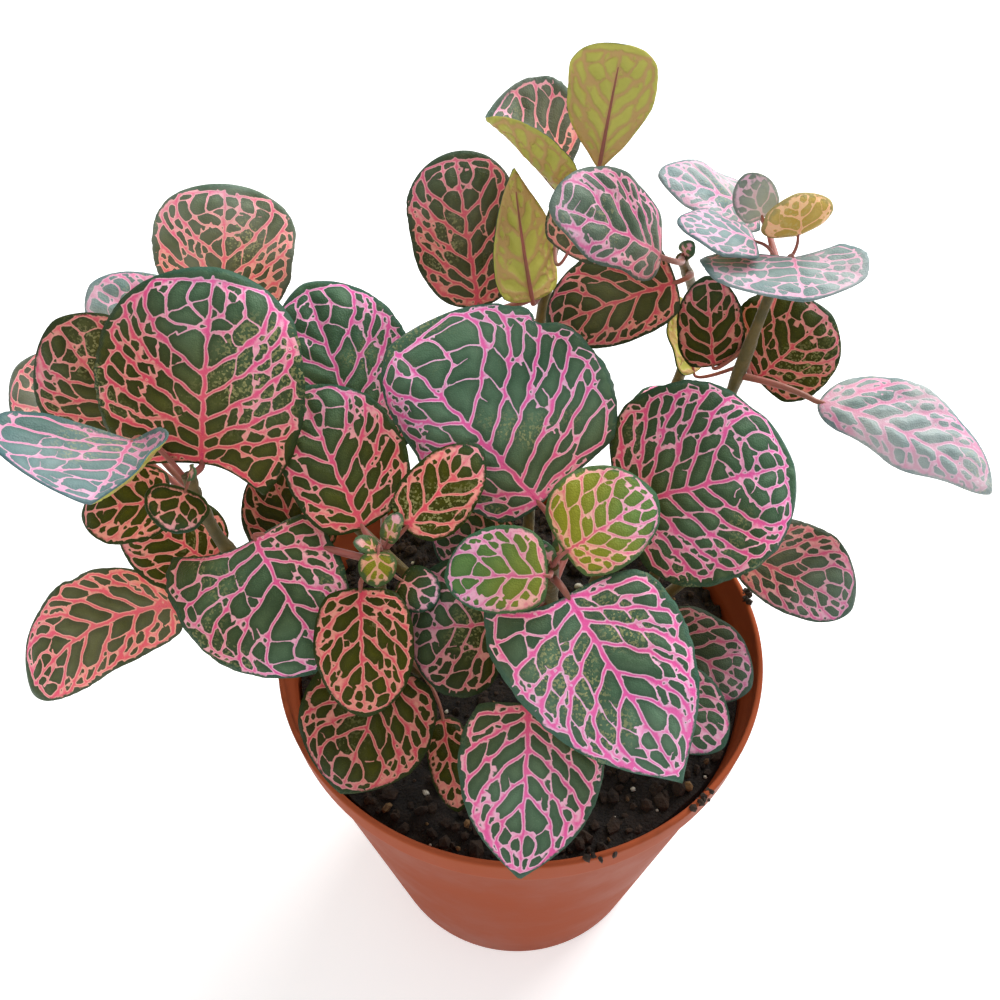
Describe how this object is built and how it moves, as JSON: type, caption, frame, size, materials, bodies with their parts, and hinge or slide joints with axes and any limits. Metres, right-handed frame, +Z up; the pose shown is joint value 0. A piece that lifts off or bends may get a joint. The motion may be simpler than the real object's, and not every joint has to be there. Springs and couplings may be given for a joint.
{
  "type": "potted nerve plant",
  "caption": "Small foliage house plant with broad dark green leaves netted with pink veins, on slender stems in a round tapered nursery pot filled with peat.",
  "frame": {"origin": "middle of the pot's flat underside", "axes": "+Z up through the pot's axis; -Y is the front of the plant"},
  "size_m": [0.2297, 0.1559, 0.2233],
  "materials": {
    "pot_plastic": "satin terracotta plastic, lightly scuffed",
    "peat": "matt black peat with pale mineral grains",
    "stem": "fleshy, finely hairy green-brown stem",
    "leaf": "soft-sheened dark green leaf with pink net veins",
    "young_leaf": "soft-sheened yellow-green young leaf with pink net veins"
  },
  "bodies": {
    "root": {"pot": "pot_plastic", "soil": "peat", "stem_left": "stem", "stem_left_back": "stem", "stem_front_left": "stem", "stem_centre": "stem", "stem_right_low": "stem", "stem_back": "stem", "stem_back_mid": "stem", "stem_back_right": "stem", "leaf_left_1": "leaf", "leaf_left_2": "leaf", "leaf_left_3": "leaf", "leaf_left_4": "leaf", "leaf_left_5": "leaf", "leaf_left_6": "leaf", "leaf_left_7": "young_leaf", "leaf_left_8": "leaf", "leaf_left_back_1": "leaf", "leaf_left_back_2": "leaf", "leaf_left_back_3": "leaf", "leaf_front_left_1": "leaf", "leaf_front_left_2": "young_leaf", "leaf_front_left_3": "leaf", "leaf_front_left_4": "young_leaf", "leaf_front_left_5": "leaf", "leaf_front_left_6": "leaf", "leaf_front_left_7": "leaf", "leaf_front_left_8": "leaf", "leaf_front_left_9": "leaf", "leaf_front_left_10": "leaf", "leaf_centre_1": "leaf", "leaf_centre_2": "leaf", "leaf_centre_3": "young_leaf", "leaf_centre_4": "young_leaf", "leaf_centre_5": "leaf", "leaf_centre_6": "leaf", "leaf_centre_7": "leaf", "leaf_centre_8": "leaf", "leaf_centre_9": "leaf", "leaf_centre_10": "leaf", "leaf_right_low_1": "leaf", "leaf_right_low_2": "leaf", "leaf_back_1": "leaf", "leaf_back_2": "leaf", "leaf_back_3": "leaf", "leaf_back_4": "leaf", "leaf_back_5": "leaf", "leaf_back_6": "leaf", "leaf_back_mid_1": "leaf", "leaf_back_mid_2": "leaf", "leaf_back_mid_3": "leaf", "leaf_back_right_1": "leaf", "leaf_back_right_2": "leaf", "leaf_back_right_3": "leaf", "leaf_back_right_4": "young_leaf", "leaf_back_right_5": "leaf", "leaf_back_right_6": "leaf", "leaf_back_right_7": "leaf", "leaf_back_right_8": "leaf"}
  },
  "joints": []
}
